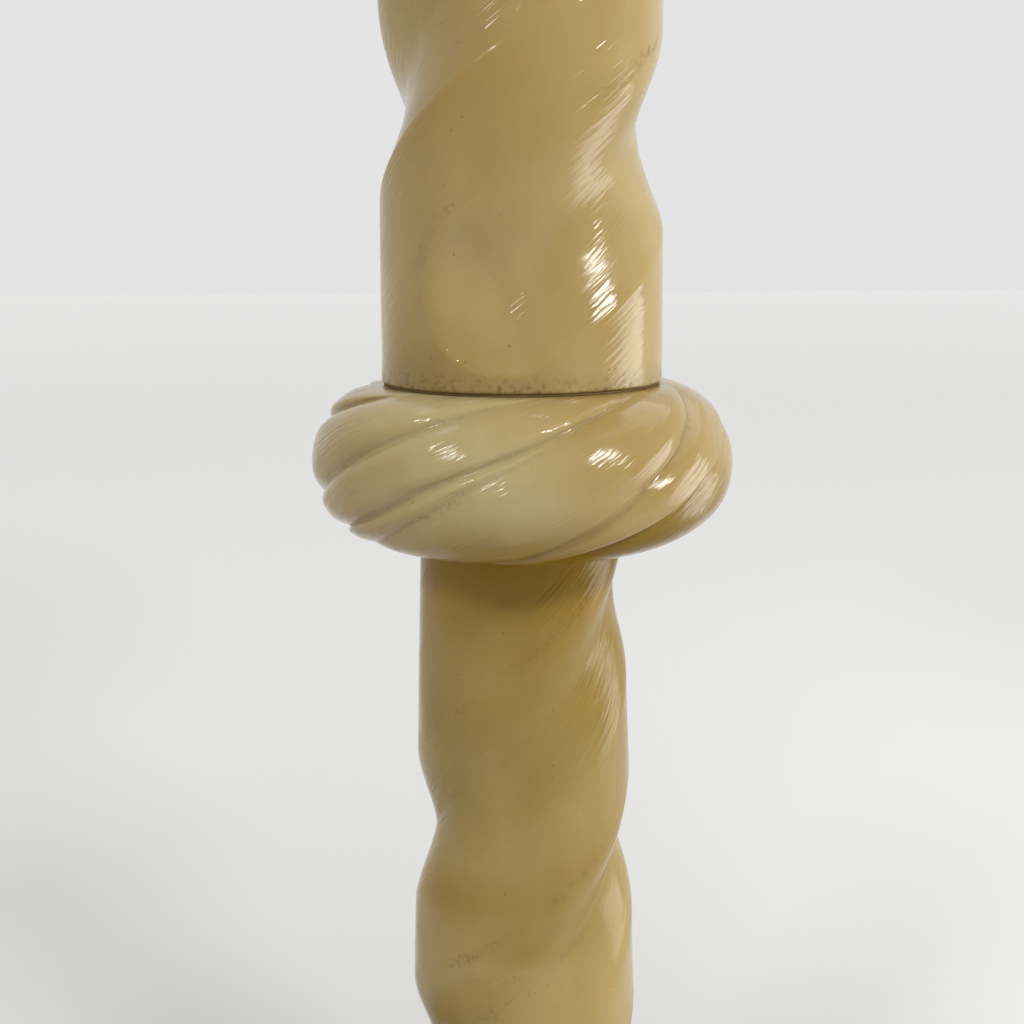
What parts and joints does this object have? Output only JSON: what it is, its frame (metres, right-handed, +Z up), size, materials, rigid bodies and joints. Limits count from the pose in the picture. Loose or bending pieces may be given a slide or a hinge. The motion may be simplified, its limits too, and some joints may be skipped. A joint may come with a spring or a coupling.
{
  "type": "baptismal font",
  "caption": "Free-standing baptismal font: twisted two-part alabaster stem with a spiral-gadrooned knop, lined bowl with plugged drain, and lift-off oak cover.",
  "frame": {"origin": "middle of the footprint, on the floor under the foot pads", "axes": "+Z up along the stem, -Y towards the front"},
  "size_m": [0.4588, 0.4588, 1.1798],
  "materials": {
    "alabaster": "polished",
    "joint_putty": "matt",
    "cork": "raw",
    "plain_brass": "satin",
    "liner_brass": "spun satin",
    "polished_brass": "polished",
    "rubber": "matt",
    "oak": "waxed",
    "felt": "napped"
  },
  "bodies": {
    "font": {"foot_pads": "cork", "plinth": "alabaster", "plinth_bed": "joint_putty", "base_torus": "alabaster", "base_bed": "joint_putty", "base_collar": "alabaster", "shaft_bed": "joint_putty", "lower_shaft": "alabaster", "knop_bed_lower": "joint_putty", "knop": "alabaster", "knop_bed_upper": "joint_putty", "upper_shaft": "alabaster", "neck_bed": "joint_putty", "neck_ring": "alabaster", "bowl_bed": "joint_putty", "bowl": "alabaster", "tie_tube": "plain_brass", "foot_plate": "plain_brass", "foot_nut": "plain_brass", "lock_nut": "plain_brass", "top_washer": "plain_brass", "top_nut": "plain_brass", "basin_liner": "liner_brass", "waste_gasket": "rubber", "waste_fitting": "plain_brass", "strainer": "plain_brass"},
    "plug": {"drain_plug": "plain_brass", "plug_seal": "rubber"},
    "plug_ring": {"pull_ring": "plain_brass"},
    "cover": {"cover_dome": "oak", "cover_pad": "felt", "cover_boss": "polished_brass", "cover_cross": "polished_brass", "cover_stud": "plain_brass", "cover_washer": "plain_brass", "cover_nut": "plain_brass"}
  },
  "joints": [
    {"name": "cover_lift", "type": "slide", "parent": "font", "child": "cover", "axis": [0, 0, 1], "range_m": [0, 0.25]},
    {"name": "plug_lift", "type": "slide", "parent": "font", "child": "plug", "axis": [0, 0, 1], "range_m": [0, 0.06]},
    {"name": "ring_swing", "type": "hinge", "parent": "plug", "child": "plug_ring", "pos_m": [0, 0, 0.8713], "axis": [1, 0, 0], "range_deg": [0, 208]}
  ]
}
